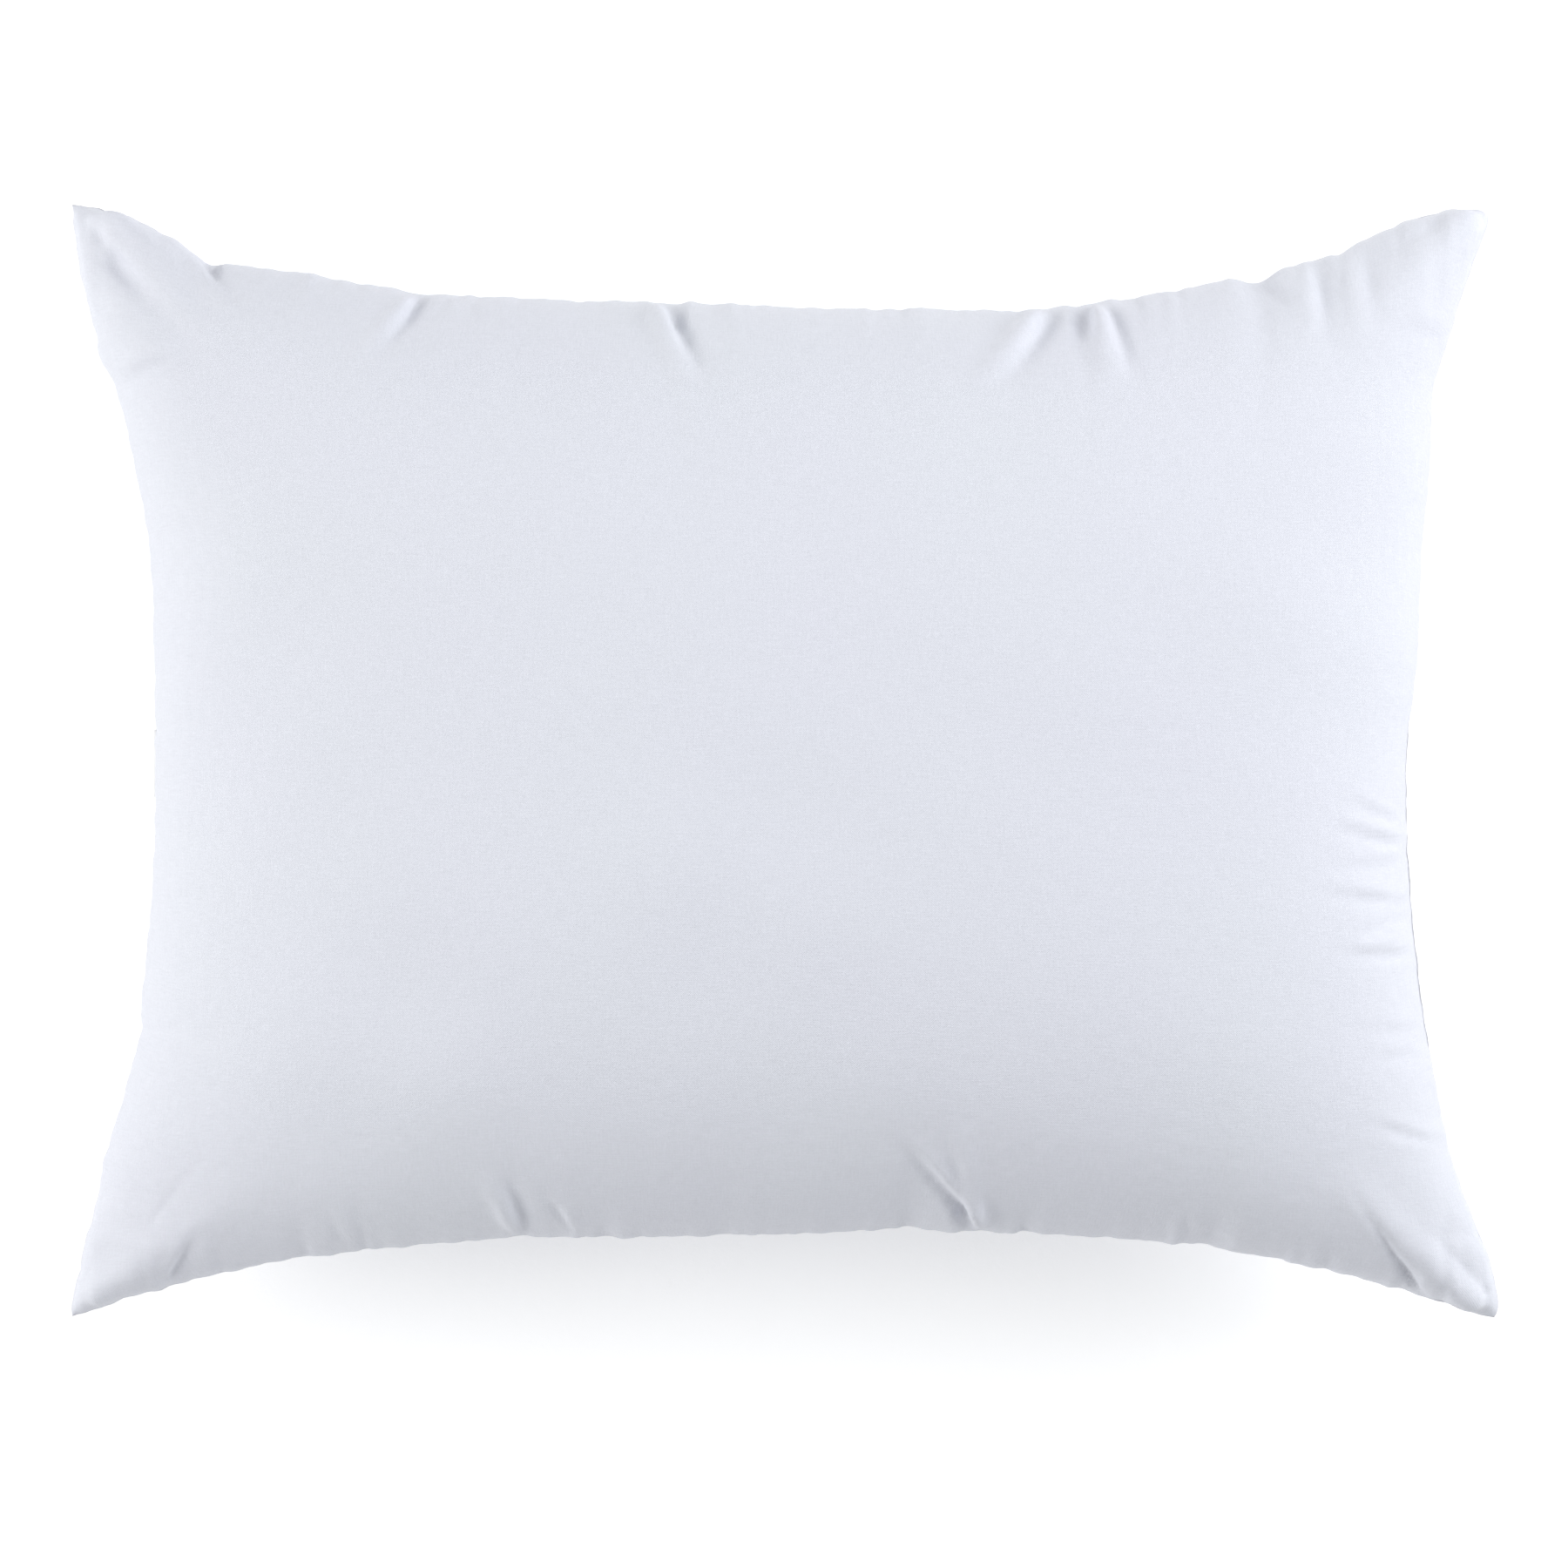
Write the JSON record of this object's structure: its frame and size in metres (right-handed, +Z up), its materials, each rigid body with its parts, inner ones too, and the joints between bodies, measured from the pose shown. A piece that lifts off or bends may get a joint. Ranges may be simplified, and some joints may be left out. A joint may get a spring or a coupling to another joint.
{
  "type": "bed pillow",
  "caption": "Rectangular knife-edge bed pillow, fully stuffed and lying flat: two sewn cotton panels round a soft fill, with a care label that swings at the side seam.",
  "frame": {"origin": "middle of the flat patch that the pillow lies on", "axes": "+X along the long sides, +Y along the short sides, +Z up through the crown"},
  "size_m": [0.64, 0.502, 0.195],
  "materials": {
    "ticking": "plain weave cotton, bleached white, slight sheen",
    "fill": "loose white fibre",
    "thread": "twisted white sewing thread",
    "label": "white satin ribbon, blank"
  },
  "bodies": {
    "pillow": {"front_panel": "ticking", "back_panel": "ticking", "fill": "fill", "seam_thread": "thread", "overlock_thread": "thread", "closing_thread": "thread"},
    "label": {"care_label": "label"}
  },
  "joints": [
    {"name": "label_swing", "type": "hinge", "parent": "pillow", "child": "label", "pos_m": [-0.28104, 0, 0.09], "axis": [0, 1, 0], "range_deg": [-5, 175]}
  ]
}
